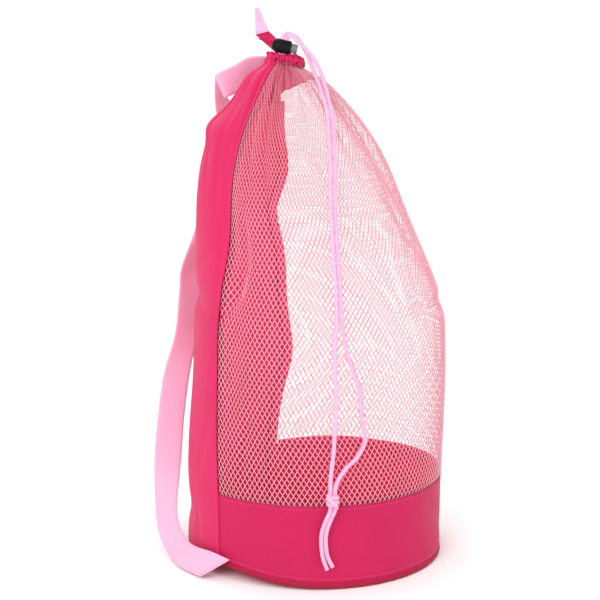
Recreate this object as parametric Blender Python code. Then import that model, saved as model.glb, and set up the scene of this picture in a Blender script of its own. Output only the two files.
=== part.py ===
"""Drawstring mesh laundry bag, standing on its round base and drawn shut.

Metres, +Z up, origin at the centre of the base's underside. The drawcord hangs down the
front (-Y) and the solid back panel with its shoulder strap is on the left (-X).
Azimuth 0 is the front, and azimuth grows anticlockwise seen from above, towards +X.
"""
import math

import bmesh
import bpy
import numpy as np
from mathutils import Matrix, Vector

# Driving dimensions of the bag
BAG_RADIUS = 0.150          # outside of the wall at the band
BINDING_HEIGHT = 0.0085     # piped seam round the base
BAND_TOP = 0.095            # top of the solid fabric band
NECK_BASE = 0.572           # where the gathered neck starts
MOUTH_TOP = 0.584           # top of the gathered neck
NECK_RADIUS = 0.0215        # outside of the gathered neck
SHOULDER_RISE = 3.0         # the higher, the later the shoulder starts to close in
SHOULDER_CLOSE = 0.787      # the higher, the more pointed it ends
MOUTH_LEAN = -0.034         # how far the mouth sits to the left of the base
LEAN_START = 0.45           # share of the way up to the neck where the lean begins
LEAN_SPAN = 0.40            # share of the way up that it takes
SIDE_AZIMUTH = 108.0        # the net's right side bulges out about this azimuth, in degrees
SIDE_SPREAD = 26.0
SIDE_BULGES = (             # (share of the way up to the neck, spread, how far out)
    (0.35, 0.094, 0.0065),
    (0.807, 0.094, 0.0165),
)
SIDE_FADE = 0.04            # share of the way up over which the bulge ends below the neck
WALL = 0.0020               # thickness of panel, band and net as gathered cloth
LINING = 0.0012             # thickness of the casing and the seam tapes
BASE_THICKNESS = 0.0025
BINDING_DEPTH = 0.0060      # from the outside of the piped seam to its inner edge
BINDING_INSET = 0.0004      # how far the piped seam stands back from the wall
BINDING_CHAMFER = 0.0015
FIT = 0.0003                # gap between pieces that touch
LAYER_GAP = 0.0005          # gap between layers of cloth, measured level
TAPE_GAP = 0.0009           # the same behind a tape, whose facets don't line up

# Seams, as azimuths in degrees
FRONT_SEAM = -48.0
REAR_SEAM = -160.0
AZIMUTH_STEP = 8.0
TAPE_WIDTH = 0.012
TAPE_LIFT = 0.0070          # from the base's upper face to the tapes' lower ends
CASING_DEPTH = 0.050        # how far the casing's facing hangs down inside the mouth

# Drawcord and its lock
CORD_DIAMETER = 0.0046
CORD_PITCH = 0.0049         # centre to centre of two cords side by side
TUNNEL_WIDTH = 0.0052       # room for the cord in the casing
TUNNEL_HEIGHT = 0.0083
SLOT_PLAY = 0.0008          # room round the cords where they leave the casing
KNOT_RADIUS = 0.0078
KNOT_HALF_HEIGHT = 0.0092
LOCK_CENTRE = Vector((-0.0378, -0.0148, 0.5937))
LOCK_TILT = 12.0            # degrees that the button end hangs down
BARREL_LENGTH = 0.0220
BARREL_RADIUS = 0.0083
BARREL_FLOOR = 0.0013
BARREL_DOME = 0.0100        # length of the barrel's rounded closed end
BARREL_LIP = 0.0030         # length of the taper at its open end
BARREL_LIP_SHARES = (0.95, 0.83)  # its radius at the taper's start and end, to the barrel's
BORE_RADIUS = 0.0055
PLUNGER_RADIUS = 0.0051
PLUNGER_WEB = 0.0012        # wall between the spring and the cords' window
PLUNGER_ROUNDING = 0.0010
BUTTON_REACH = 0.0072       # how far the plunger stands out of the barrel
BUTTON_TRAVEL = 0.0030
SPRING_ROOM = 0.0050
SPRING_WIRE = 0.0005
SPRING_TURNS = 3
SPRING_PLAY = 0.0010        # room between the spring and the bore
WINDOW_PLAY = 0.0005        # room on each side of the cords in the lock's windows

# Webbing and sewn trim
WEBBING = 0.0016            # thickness of the strap's webbing
BARTACK_THICKNESS = 0.0008
BARTACK_DEPTH = 0.0060      # size of a bartack along the webbing
TOP_BARTACK_WIDTH = 0.0240
BARTACK_LIFT = 0.0005       # extra room under a bartack where the cloth below curves

# Centre line of each drawcord strand, from the casing up through the lock and down to the
# knot. The two run side by side, part below the middle and meet again at the knot.
STRAND_LEFT = (
    (-0.0407, -0.0138, 0.5797), (-0.0405, -0.0148, 0.5846), (-0.0385, -0.0148, 0.5939),
    (-0.0365, -0.0148, 0.6032), (-0.0350, -0.0136, 0.6060), (-0.0318, -0.0122, 0.6075),
    (-0.0272, -0.0116, 0.6064), (-0.0196, -0.0120, 0.6020), (-0.0114, -0.0137, 0.5895),
    (-0.0048, -0.0180, 0.5745), (0.0008, -0.0240, 0.5610), (0.0079, -0.0386, 0.5430),
    (0.0143, -0.0592, 0.5165), (0.0169, -0.0878, 0.4710), (0.0168, -0.1092, 0.4320),
    (0.0184, -0.1205, 0.4050), (0.0203, -0.1325, 0.3707), (0.0228, -0.1400, 0.3400),
    (0.0240, -0.1450, 0.3058), (0.0215, -0.1475, 0.2800), (0.0223, -0.1505, 0.2500),
    (0.0240, -0.1520, 0.2151), (0.0225, -0.1532, 0.1873), (0.0210, -0.1545, 0.1600),
    (0.0180, -0.1560, 0.1320), (0.0178, -0.1585, 0.1175),
)
STRAND_RIGHT = (
    (-0.0359, -0.0151, 0.5797), (-0.0357, -0.0148, 0.5836), (-0.0337, -0.0148, 0.5929),
    (-0.0317, -0.0148, 0.6022), (-0.0303, -0.0162, 0.6048), (-0.0270, -0.0175, 0.6055),
    (-0.0230, -0.0181, 0.6032), (-0.0182, -0.0187, 0.5980), (-0.0070, -0.0188, 0.5868),
    (0.0020, -0.0228, 0.5738), (0.0076, -0.0285, 0.5615), (0.0138, -0.0398, 0.5420),
    (0.0196, -0.0592, 0.5155), (0.0220, -0.0868, 0.4710), (0.0219, -0.1078, 0.4320),
    (0.0234, -0.1195, 0.4050), (0.0253, -0.1315, 0.3707), (0.0278, -0.1390, 0.3400),
    (0.0292, -0.1440, 0.3058), (0.0336, -0.1458, 0.2773), (0.0419, -0.1462, 0.2495),
    (0.0497, -0.1452, 0.2247), (0.0510, -0.1458, 0.2067), (0.0544, -0.1452, 0.1817),
    (0.0555, -0.1450, 0.1690), (0.0468, -0.1485, 0.1530), (0.0348, -0.1525, 0.1415),
    (0.0262, -0.1560, 0.1295), (0.0228, -0.1585, 0.1175),
)
TAIL_LEFT = (
    (0.0178, -0.1585, 0.0965), (0.0138, -0.1560, 0.0852), (0.0088, -0.1545, 0.0700),
    (0.0078, -0.1540, 0.0560), (0.0098, -0.1540, 0.0391), (0.0145, -0.1540, 0.0255),
)
TAIL_RIGHT = (
    (0.0228, -0.1585, 0.0965), (0.0188, -0.1560, 0.0852), (0.0138, -0.1545, 0.0700),
    (0.0128, -0.1540, 0.0560), (0.0150, -0.1540, 0.0405), (0.0205, -0.1540, 0.0285),
)
KNOT_CENTRE = Vector((0.0203, -0.1590, 0.1070))

# The shoulder strap as pairs of edge points, from its sewn top end down to the base.
STRAP_TOP_END = (
    ((-0.0400, 0.0240, 0.5795), (-0.0370, 0.0480, 0.5570)),
    ((-0.0520, 0.0250, 0.5798), (-0.0480, 0.0475, 0.5560)),
    ((-0.0652, 0.0268, 0.5800), (-0.0597, 0.0470, 0.5548)),
)
STRAP_ROUTE = (
    ((-0.0658, 0.0269, 0.5800), (-0.0603, 0.0470, 0.5547)),
    ((-0.0775, 0.0300, 0.5785), (-0.0727, 0.0476, 0.5527)),
    ((-0.0925, 0.0340, 0.5695), (-0.0830, 0.0470, 0.5415)),
    ((-0.1115, 0.0360, 0.5605), (-0.1040, 0.0480, 0.5310)),
    ((-0.1165, 0.0520, 0.5530), (-0.1060, 0.0750, 0.5320)),
    ((-0.1180, 0.0720, 0.5250), (-0.0960, 0.0940, 0.5140)),
    ((-0.1160, 0.0900, 0.4900), (-0.0910, 0.1090, 0.4880)),
    ((-0.1210, 0.0970, 0.4500), (-0.0950, 0.1155, 0.4500)),
    ((-0.1340, 0.0920, 0.4100), (-0.1070, 0.1085, 0.4100)),
    ((-0.1450, 0.0800, 0.3670), (-0.1195, 0.0993, 0.3670)),
    ((-0.1595, 0.0620, 0.3270), (-0.1375, 0.0852, 0.3270)),
    ((-0.1620, 0.0545, 0.2990), (-0.1365, 0.0738, 0.2990)),
    ((-0.1670, 0.0460, 0.2500), (-0.1403, 0.0636, 0.2500)),
    ((-0.1803, 0.0370, 0.2030), (-0.1495, 0.0457, 0.2030)),
    ((-0.1870, 0.0220, 0.1540), (-0.1555, 0.0275, 0.1540)),
    ((-0.1905, 0.0080, 0.1050), (-0.1585, 0.0090, 0.1050)),
    ((-0.1893, -0.0030, 0.0600), (-0.1618, -0.0193, 0.0600)),
    ((-0.1845, -0.0230, 0.0280), (-0.1582, -0.0376, 0.0390)),
    ((-0.1710, -0.0480, 0.0070), (-0.1480, -0.0560, 0.0275)),
    ((-0.1546, -0.0808, 0.0020), (-0.1365, -0.0800, 0.0270)),
    ((-0.1305, -0.1120, 0.0020), (-0.1150, -0.1060, 0.0290)),
    ((-0.1290, -0.1138, 0.0022), (-0.0950, -0.1235, 0.0260)),
)
STRAP_HINGE_LOW = Vector((-0.0960, -0.1232, 0.0250))
STRAP_HINGE_HIGH = Vector((-0.0655, 0.0266, 0.5802))

# The hanging tab at the mouth and the webbing loop on it, as pairs of edge points.
TAB_THICKNESS = 0.0014
TAB_ROUTE = (
    ((-0.0450, 0.0155, 0.5850), (-0.0290, 0.0155, 0.5850)),
    ((-0.0530, 0.0140, 0.5920), (-0.0370, 0.0140, 0.5940)),
    ((-0.0610, 0.0125, 0.5990), (-0.0450, 0.0125, 0.6020)),
    ((-0.0680, 0.0120, 0.6052), (-0.0525, 0.0120, 0.6093)),
)
TAB_HINGE = Vector((-0.0370, 0.0155, 0.5849))
LOOP_BASE = Vector((-0.0603, 0.0120, 0.6077))
LOOP_EDGE = Vector((0.0072, 0.0000, 0.0019))     # half the loop's width at its base
LOOP_TIP_EDGE = Vector((0.0058, 0.0026, 0.0))    # half its width at the turned tip
LOOP_HEIGHT = 0.0270
LOOP_HALF_GAP = 0.0042
LOOP_THICKNESS = 0.0012
LOOP_BARTACK_DROP = 0.0066  # from the loop's base down to the row of stitches that holds it
LOOP_BARTACK_WIDTH = 0.0100
LOOP_BARTACK_DEPTH = 0.0020


def clear_scene():
    for thing in list(bpy.data.objects):
        bpy.data.objects.remove(thing, do_unlink=True)


def make_material(name, colour, roughness, metallic=0.0):
    material = bpy.data.materials.new(name)
    material.use_nodes = True
    shader = material.node_tree.nodes["Principled BSDF"]
    shader.inputs["Base Color"].default_value = (*colour, 1.0)
    shader.inputs["Roughness"].default_value = roughness
    shader.inputs["Metallic"].default_value = metallic
    return material


def make_axis(name, place, parent=None):
    """An empty that marks a moving piece's axis."""
    axis = bpy.data.objects.new(name, None)
    bpy.context.collection.objects.link(axis)
    axis.empty_display_size = 0.02
    axis.parent = parent
    axis.location = place
    return axis


def mesh_object(name, bm, material, origin=Vector(), parent=None, sharp=40.0):
    """Turn a bmesh in the parent's axes into a smooth-shaded object at its origin."""
    bmesh.ops.recalc_face_normals(bm, faces=bm.faces)
    bmesh.ops.translate(bm, verts=bm.verts, vec=-Vector(origin))
    mesh = bpy.data.meshes.new(name)
    bm.to_mesh(mesh)
    bm.free()
    mesh.materials.append(material)
    mesh.shade_smooth()
    mesh.set_sharp_from_angle(angle=math.radians(sharp))
    thing = bpy.data.objects.new(name, mesh)
    bpy.context.collection.objects.link(thing)
    thing.location = origin
    if parent is not None:
        thing.parent = parent
        thing.location = Vector(origin) - parent.matrix_world.translation
    return thing


def smooth_step(share):
    share = min(max(share, 0.0), 1.0)
    return share * share * (3.0 - 2.0 * share)


def share_up(height):
    """How far up the wall a height is: 0 at the band's top and 1 at the neck."""
    return min(max((height - BAND_TOP) / (NECK_BASE - BAND_TOP), 0.0), 1.0)


def wall_radius(height):
    """Outer radius: straight at the band, then a rounded shoulder that closes on the neck."""
    closed = (1.0 - share_up(height) ** SHOULDER_RISE) ** SHOULDER_CLOSE
    return NECK_RADIUS + (BAG_RADIUS - NECK_RADIUS) * closed


def wall_centre(height):
    """The shoulder leans left, so each ring's centre moves towards the mouth."""
    return MOUTH_LEAN * smooth_step((share_up(height) - LEAN_START) / LEAN_SPAN)


def side_bulge(height):
    """How far the right side stands out of the round at its fullest azimuth."""
    share = share_up(height)
    out = sum(reach * math.exp(-((share - at) / spread) ** 2 / 2)
              for at, spread, reach in SIDE_BULGES)
    return out * smooth_step((1.0 - share) / SIDE_FADE)


def ring_heights():
    """Heights of the wall's rings, closer together where the shoulder curves in."""
    low, count = BINDING_HEIGHT + FIT, 12
    shoulder = [BAND_TOP + (NECK_BASE - BAND_TOP) * (1.0 - (1.0 - i / count) ** 1.5)
                for i in range(count + 1)]
    return [low, (low + BAND_TOP) / 2] + shoulder + [MOUTH_TOP]


def faceted(measure, height):
    """A measure of the wall read on its facets, so that every layer follows the same ones."""
    rings = ring_heights()
    return float(np.interp(height, rings, [measure(ring) for ring in rings]))


def layer_heights(low, high):
    """Where a layer between two heights bends: at its ends and at the wall's rings."""
    return [low] + [ring for ring in ring_heights() if low + FIT < ring < high - FIT] + [high]


def wall_point(azimuth, radius, height):
    """A point at a level radius round the wall's centre, moved out with the side's bulge."""
    turn = math.radians(azimuth)
    off_side = (azimuth - SIDE_AZIMUTH + 180.0) % 360.0 - 180.0
    radius += faceted(side_bulge, height) * math.exp(-(off_side / SIDE_SPREAD) ** 2 / 2)
    return Vector((
        faceted(wall_centre, height) + radius * math.sin(turn),
        -radius * math.cos(turn),
        height,
    ))


def grid_azimuths(low, high):
    """The ends of an arc, with the shared step between them so that layers line up."""
    first = math.ceil(low / AZIMUTH_STEP + 0.01)
    last = math.floor(high / AZIMUTH_STEP - 0.01)
    return [low] + [i * AZIMUTH_STEP for i in range(first, last + 1)] + [high]


def wall_piece(name, azimuths, low, high, depth, thickness, material):
    """A closed sheet that follows the wall, starting depth inside its outer face."""
    heights = layer_heights(low, high)
    radii = [faceted(wall_radius, height) for height in heights]
    bm = bmesh.new()
    layers = []
    for inset in (depth, depth + thickness):
        layers.append([
            [bm.verts.new(wall_point(a, r - inset, h)) for r, h in zip(radii, heights)]
            for a in azimuths
        ])
    outer, inner = layers
    columns, rows = len(azimuths), len(heights)
    for c in range(columns - 1):
        for r in range(rows - 1):
            bm.faces.new((outer[c][r], outer[c + 1][r], outer[c + 1][r + 1], outer[c][r + 1]))
            bm.faces.new((inner[c][r], inner[c][r + 1], inner[c + 1][r + 1], inner[c + 1][r]))
        for r in (0, rows - 1):
            bm.faces.new((outer[c][r], inner[c][r], inner[c + 1][r], outer[c + 1][r]))
    for c in (0, columns - 1):
        for r in range(rows - 1):
            bm.faces.new((outer[c][r], outer[c][r + 1], inner[c][r + 1], inner[c][r]))
    return mesh_object(name, bm, material)


def ring_piece(name, profile, segments, material):
    """A closed ring swept round the wall's centre from a closed (radius, height) profile."""
    bm = bmesh.new()
    rings = []
    for s in range(segments):
        azimuth = 360.0 * s / segments
        rings.append([bm.verts.new(wall_point(azimuth, r, h)) for r, h in profile])
    for s in range(segments):
        near, far = rings[s], rings[(s + 1) % segments]
        for p in range(len(profile)):
            q = (p + 1) % len(profile)
            bm.faces.new((near[p], far[p], far[q], near[q]))
    return mesh_object(name, bm, material)


def smooth_path(points, spacing):
    """Read points off a Catmull-Rom curve through the route's own points."""
    route = [np.array(p, dtype=float).ravel() for p in points]
    padded = [2 * route[0] - route[1]] + route + [2 * route[-1] - route[-2]]
    path = []
    for i in range(1, len(padded) - 2):
        before, start, end, after = padded[i - 1:i + 3]
        steps = max(1, round(np.linalg.norm((end - start)[:3]) / spacing))
        for k in range(steps):
            t = k / steps
            path.append(0.5 * (
                2 * start + (end - before) * t
                + (2 * before - 5 * start + 4 * end - after) * t ** 2
                + (3 * start - before - 3 * end + after) * t ** 3
            ))
    path.append(route[-1])
    return path


def tube(name, points, diameter, material, spacing=0.0115, resolution=2, parent=None):
    """A cord as a round tube along its route, with flat ends."""
    curve = bpy.data.curves.new(name, "CURVE")
    curve.dimensions = "3D"
    curve.bevel_depth = diameter / 2
    curve.bevel_resolution = resolution
    curve.use_fill_caps = True
    path = smooth_path(points, spacing)
    spline = curve.splines.new("POLY")
    spline.points.add(len(path) - 1)
    for point, place in zip(spline.points, path):
        point.co = (*place, 1.0)
    spline.use_smooth = True
    curve.materials.append(material)
    thing = bpy.data.objects.new(name, curve)
    bpy.context.collection.objects.link(thing)
    thing.parent = parent
    return thing


def ribbon(name, edges, thickness, material, spacing=0.025, axis=None):
    """A flat band whose two edges follow pairs of points, thickened both ways."""
    rows = smooth_path([(*left, *right) for left, right in edges], spacing)
    lefts = [Vector(row[:3]) for row in rows]
    rights = [Vector(row[3:]) for row in rows]
    middles = [(a + b) / 2 for a, b in zip(lefts, rights)]
    bm = bmesh.new()
    sections = []
    for i, (left, right) in enumerate(zip(lefts, rights)):
        along = middles[min(i + 1, len(rows) - 1)] - middles[max(i - 1, 0)]
        face = along.cross(right - left).normalized() * thickness / 2
        corners = (left + face, right + face, right - face, left - face)
        sections.append([bm.verts.new(c) for c in corners])
    for near, far in zip(sections, sections[1:]):
        for k in range(4):
            bm.faces.new((near[k], near[(k + 1) % 4], far[(k + 1) % 4], far[k]))
    bm.faces.new(reversed(sections[0]))
    bm.faces.new(sections[-1])
    if axis is None:
        return mesh_object(name, bm, material, sharp=50.0)
    return mesh_object(name, bm, material, axis.matrix_world.translation, axis, sharp=50.0)


def box_mesh(size, place=Vector(), bevel=0.0):
    bm = bmesh.new()
    bmesh.ops.create_cube(bm, size=1.0)
    bmesh.ops.scale(bm, vec=size, verts=bm.verts)
    if bevel:
        bmesh.ops.bevel(bm, geom=bm.edges, offset=bevel, segments=1, affect="EDGES")
    bmesh.ops.translate(bm, vec=place, verts=bm.verts)
    return bm


def cut(thing, cutter):
    """Take the cutter's shape out of a piece and leave the cutter as a hidden guide."""
    cutter.hide_render = True
    cutter.display_type = "WIRE"
    boolean = thing.modifiers.new("cut_" + cutter.name, "BOOLEAN")
    boolean.operation = "DIFFERENCE"
    boolean.solver = "EXACT"
    boolean.object = cutter


def turned(name, profile, segments, material, parent):
    """A solid of revolution about the parent's X axis from (along, radius) points.

    The profile starts and ends on the axis.
    """
    bm = bmesh.new()
    first = bm.verts.new((profile[0][0], 0.0, 0.0))
    last = bm.verts.new((profile[-1][0], 0.0, 0.0))
    rings = []
    for along, radius in profile[1:-1]:
        rings.append([
            bm.verts.new((
                along,
                radius * math.cos(2 * math.pi * s / segments),
                radius * math.sin(2 * math.pi * s / segments),
            ))
            for s in range(segments)
        ])
    for s in range(segments):
        t = (s + 1) % segments
        bm.faces.new((first, rings[0][s], rings[0][t]))
        bm.faces.new((last, rings[-1][t], rings[-1][s]))
        for near, far in zip(rings, rings[1:]):
            bm.faces.new((near[s], far[s], far[t], near[t]))
    thing = mesh_object(name, bm, material, sharp=35.0)
    thing.parent = parent
    return thing


def build_base(fabric, trim):
    """The round bottom, the piped seam round it and the solid band above the seam."""
    segments = round(360.0 / AZIMUTH_STEP)
    binding_inner = BAG_RADIUS - BINDING_DEPTH
    bm = bmesh.new()
    rings = []
    for height in (0.0, BASE_THICKNESS):
        rings.append([
            bm.verts.new(wall_point(360.0 * s / segments, binding_inner - FIT, height))
            for s in range(segments)
        ])
    for s in range(segments):
        t = (s + 1) % segments
        bm.faces.new((rings[0][s], rings[0][t], rings[1][t], rings[1][s]))
    bm.faces.new(reversed(rings[0]))
    bm.faces.new(rings[1])
    mesh_object("base_disc", bm, fabric)

    chamfer = BINDING_CHAMFER
    outer = BAG_RADIUS - BINDING_INSET
    ring_piece("base_binding", (
        (binding_inner, 0.0), (outer - chamfer, 0.0), (outer, chamfer),
        (outer, BINDING_HEIGHT - chamfer), (outer - chamfer, BINDING_HEIGHT),
        (binding_inner, BINDING_HEIGHT),
    ), segments, trim)


def build_walls(fabric, net, trim):
    """Back panel, band and net, with the tapes that cover their seams on the inside."""
    seam = math.degrees(FIT / 2 / NECK_RADIUS)
    low = BINDING_HEIGHT + FIT
    front, rear = FRONT_SEAM, REAR_SEAM + 360.0
    panel_arc = grid_azimuths(REAR_SEAM, FRONT_SEAM)
    net_arc = grid_azimuths(front + seam, rear - seam)
    wall_piece("back_panel", panel_arc, low, MOUTH_TOP, 0.0, WALL, fabric)
    wall_piece("base_band", net_arc, low, BAND_TOP - FIT, 0.0, WALL, fabric)
    wall_piece("mesh_wall", net_arc, BAND_TOP, MOUTH_TOP, 0.0, WALL, net)

    depth = WALL + TAPE_GAP
    half = math.degrees(TAPE_WIDTH / 2 / BAG_RADIUS)
    tape_top = NECK_BASE - CASING_DEPTH
    tape_low = BASE_THICKNESS + TAPE_LIFT
    for name, azimuth in (("front_seam_tape", front), ("rear_seam_tape", rear)):
        arc = [azimuth - half, azimuth, azimuth + half]
        wall_piece(name, arc, tape_low, tape_top - FIT, depth, LINING, trim)
    band_arc = grid_azimuths(front + 2 * half, rear - 2 * half)
    wall_piece("band_seam_tape", band_arc, BAND_TOP - TAPE_WIDTH / 2,
               BAND_TOP + TAPE_WIDTH / 2, WALL + LAYER_GAP, LINING, trim)


def build_casing(fabric):
    """The mouth's facing, turned in at the top into a tunnel for the drawcord."""
    outer = NECK_RADIUS - WALL - LAYER_GAP
    tunnel_outer = outer - LINING
    tunnel_inner = tunnel_outer - TUNNEL_WIDTH
    hole = tunnel_inner - LINING
    roof = MOUTH_TOP - LINING
    floor = roof - TUNNEL_HEIGHT
    hem = NECK_BASE - CASING_DEPTH
    inset = WALL + LAYER_GAP
    shoulder = layer_heights(hem, NECK_BASE)[:-1]
    facing_outer = [(faceted(wall_radius, h) - inset, h) for h in shoulder]
    facing_inner = [(radius - LINING, h) for radius, h in facing_outer]
    profile = facing_outer + [
        (outer, NECK_BASE), (outer, MOUTH_TOP), (hole, MOUTH_TOP), (hole, floor - LINING),
        (tunnel_outer - FIT, floor - LINING), (tunnel_outer - FIT, floor),
        (tunnel_inner, floor), (tunnel_inner, roof), (tunnel_outer, roof),
        (tunnel_outer, NECK_BASE),
    ] + facing_inner[::-1]
    casing = ring_piece("mouth_casing", profile, round(360.0 / AZIMUTH_STEP), fabric)

    left, right = STRAND_LEFT[0], STRAND_RIGHT[0]
    room = CORD_DIAMETER / 2 + SLOT_PLAY
    slot_low = (roof + floor) / 2 - CORD_DIAMETER / 2
    slot_high = MOUTH_TOP + LINING
    size = Vector((right[0] - left[0] + 2 * room, 2 * room, slot_high - slot_low))
    place = Vector(((left[0] + right[0]) / 2, (left[1] + right[1]) / 2,
                    (slot_low + slot_high) / 2))
    slot = mesh_object("cord_slot_cutter", box_mesh(size, place), fabric)
    cut(casing, slot)
    return (tunnel_outer + tunnel_inner) / 2, (roof + floor) / 2


def build_drawcord(cord, loop_radius, loop_height):
    """The cord in the casing, its two strands through the lock, the knot and two tails."""
    clear_turn = math.degrees((CORD_DIAMETER + 2 * FIT) / loop_radius)
    azimuths = []
    for strand in (STRAND_RIGHT, STRAND_LEFT):
        azimuths.append(math.degrees(math.atan2(strand[0][0] - MOUTH_LEAN, -strand[0][1])))
    start = azimuths[0] + clear_turn
    end = azimuths[1] - clear_turn + 360.0
    turns = 24
    loop = []
    for k in range(turns + 1):
        loop.append(wall_point(start + (end - start) * k / turns, loop_radius, loop_height))
    tube("drawcord_loop", loop, CORD_DIAMETER, cord, spacing=0.0120)
    tube("drawcord_strand_left", STRAND_LEFT, CORD_DIAMETER, cord)
    tube("drawcord_strand_right", STRAND_RIGHT, CORD_DIAMETER, cord)
    tube("drawcord_tail_left", TAIL_LEFT, CORD_DIAMETER, cord)
    tube("drawcord_tail_right", TAIL_RIGHT, CORD_DIAMETER, cord)
    bm = bmesh.new()
    bmesh.ops.create_uvsphere(bm, u_segments=16, v_segments=10, radius=1.0)
    bmesh.ops.scale(bm, vec=(KNOT_RADIUS, KNOT_RADIUS, KNOT_HALF_HEIGHT), verts=bm.verts)
    bmesh.ops.translate(bm, vec=KNOT_CENTRE, verts=bm.verts)
    mesh_object("drawcord_knot", bm, cord, KNOT_CENTRE)


def build_cord_lock(plastic, steel):
    """A barrel with a sprung plunger; the cords pass through a window in both."""
    frame = make_axis("cord_lock_axis", LOCK_CENTRE)
    frame.rotation_euler = (0.0, math.radians(LOCK_TILT), 0.0)
    bpy.context.view_layer.update()
    back, front = -BARREL_LENGTH / 2, BARREL_LENGTH / 2
    rounding = 9
    dome = []
    for k in range(1, rounding + 1):
        turn = math.pi / 2 * k / rounding
        dome.append((
            back + BARREL_DOME * (1.0 - math.cos(turn)),
            BARREL_RADIUS * math.sin(turn) ** 0.8,
        ))
    bore_floor = back + BARREL_FLOOR
    barrel = turned("cord_lock_barrel", [(back, 0.0)] + dome + [
        (front - BARREL_LIP, BARREL_LIP_SHARES[0] * BARREL_RADIUS),
        (front, BARREL_LIP_SHARES[1] * BARREL_RADIUS),
        (front, BORE_RADIUS), (bore_floor, BORE_RADIUS), (bore_floor, 0.0),
    ], 24, plastic, frame)

    plunger_back = bore_floor + SPRING_ROOM
    end = front + BUTTON_REACH
    plunger = turned("cord_lock_plunger", [
        (plunger_back, 0.0), (plunger_back, PLUNGER_RADIUS),
        (end - PLUNGER_ROUNDING, PLUNGER_RADIUS), (end, PLUNGER_RADIUS - PLUNGER_ROUNDING),
        (end, 0.0),
    ], 20, plastic, frame)

    cords_width = CORD_DIAMETER + CORD_PITCH
    window_start = plunger_back + PLUNGER_WEB
    cords_middle = window_start + WINDOW_PLAY + cords_width / 2
    window_width = CORD_DIAMETER + 2 * WINDOW_PLAY
    barrel_window = Vector((cords_width + 2 * WINDOW_PLAY, window_width, 4 * BARREL_RADIUS))
    opening = mesh_object("barrel_window_cutter", box_mesh(
        barrel_window, Vector((cords_middle, 0.0, 0.0))), plastic)
    opening.parent = frame
    cut(barrel, opening)
    slack = BUTTON_TRAVEL + WINDOW_PLAY
    plunger_window = Vector((cords_width + WINDOW_PLAY + slack, window_width, 4 * PLUNGER_RADIUS))
    opening = mesh_object("plunger_window_cutter", box_mesh(
        plunger_window, Vector((window_start + plunger_window.x / 2, 0.0, 0.0))), plastic)
    opening.parent = frame
    cut(plunger, opening)

    helix = []
    steps = 10 * SPRING_TURNS
    radius = BORE_RADIUS - SPRING_WIRE / 2 - SPRING_PLAY
    low = bore_floor + SPRING_WIRE / 2 + FIT
    high = plunger_back - SPRING_WIRE / 2 - FIT
    for k in range(steps + 1):
        turn = 2 * math.pi * SPRING_TURNS * k / steps
        helix.append((
            low + (high - low) * k / steps, radius * math.cos(turn), radius * math.sin(turn),
        ))
    tube("cord_lock_spring", helix, SPRING_WIRE, steel, spacing=0.0100, resolution=1, parent=frame)


def patch(name, centre, across, outward, size, material, axis=None):
    """A small stitched plate lying on cloth: across and outward set how it is turned."""
    across, outward = Vector(across).normalized(), Vector(outward)
    outward = (outward - across * outward.dot(across)).normalized()
    bm = box_mesh(Vector(size), bevel=0.0002)
    turn = Matrix((across, outward.cross(across), outward)).transposed()
    bmesh.ops.rotate(bm, matrix=turn, verts=bm.verts)
    bmesh.ops.translate(bm, vec=centre, verts=bm.verts)
    return mesh_object(name, bm, material, centre, axis)


def build_strap(webbing, thread):
    """The shoulder strap: a sewn top end, and the free strap that swings about its ends."""
    axis = make_axis("strap_axis", STRAP_HINGE_HIGH)
    bpy.context.view_layer.update()
    ribbon("strap_top_end", STRAP_TOP_END, WEBBING, webbing)
    ribbon("shoulder_strap", STRAP_ROUTE, WEBBING, webbing, spacing=0.020, axis=axis)

    upper, lower = (Vector(p) for p in STRAP_TOP_END[1])
    next_upper = Vector(STRAP_TOP_END[2][0])
    outward = (lower - upper).cross(next_upper - upper).normalized()
    lift = FIT + BARTACK_THICKNESS / 2 + BARTACK_LIFT
    patch("strap_top_bartack", (upper + lower) / 2 + outward * (WEBBING / 2 + lift),
          lower - upper, outward, (TOP_BARTACK_WIDTH, BARTACK_DEPTH, BARTACK_THICKNESS), thread)


def build_hanging_tab(fabric, webbing, thread):
    """A cloth tab on the mouth's rim with a folded webbing loop sewn to its end."""
    tab_axis = make_axis("hang_tab_axis", TAB_HINGE)
    loop_axis = make_axis("hang_loop_axis", LOOP_BASE - TAB_HINGE, tab_axis)
    bpy.context.view_layer.update()
    ribbon("hang_tab", TAB_ROUTE, TAB_THICKNESS, fabric, spacing=0.008, axis=tab_axis)
    last_left, last_right = (Vector(p) for p in TAB_ROUTE[-1])
    across = last_right - last_left
    lift = TAB_THICKNESS / 2 + FIT + BARTACK_THICKNESS / 2
    below = Vector((0.0, 1.0, 0.0)).cross(across).normalized() * LOOP_BARTACK_DROP
    patch("hang_loop_bartack", LOOP_BASE + below - Vector((0.0, lift, 0.0)), across,
          (0.0, -1.0, 0.0), (LOOP_BARTACK_WIDTH, LOOP_BARTACK_DEPTH, BARTACK_THICKNESS), thread,
          tab_axis)

    base = LOOP_BASE + Vector((0.0, 0.0, LOOP_THICKNESS / 2 + 2 * FIT))
    across = Vector((0.0, 1.0, 0.0))
    steps = 12
    legs = []
    for k in range(steps + 1):
        turn = math.pi * (k / steps)
        rise = LOOP_HEIGHT * math.sin(turn) ** 0.6
        lean = Vector((-0.0008, 0.0, 1.0)) * rise
        edge = LOOP_EDGE.lerp(LOOP_TIP_EDGE, rise / LOOP_HEIGHT)
        middle = base + lean - across * LOOP_HALF_GAP * math.cos(turn)
        legs.append((middle - edge, middle + edge))
    ribbon("hang_loop", legs, LOOP_THICKNESS, webbing, spacing=0.012, axis=loop_axis)


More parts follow.
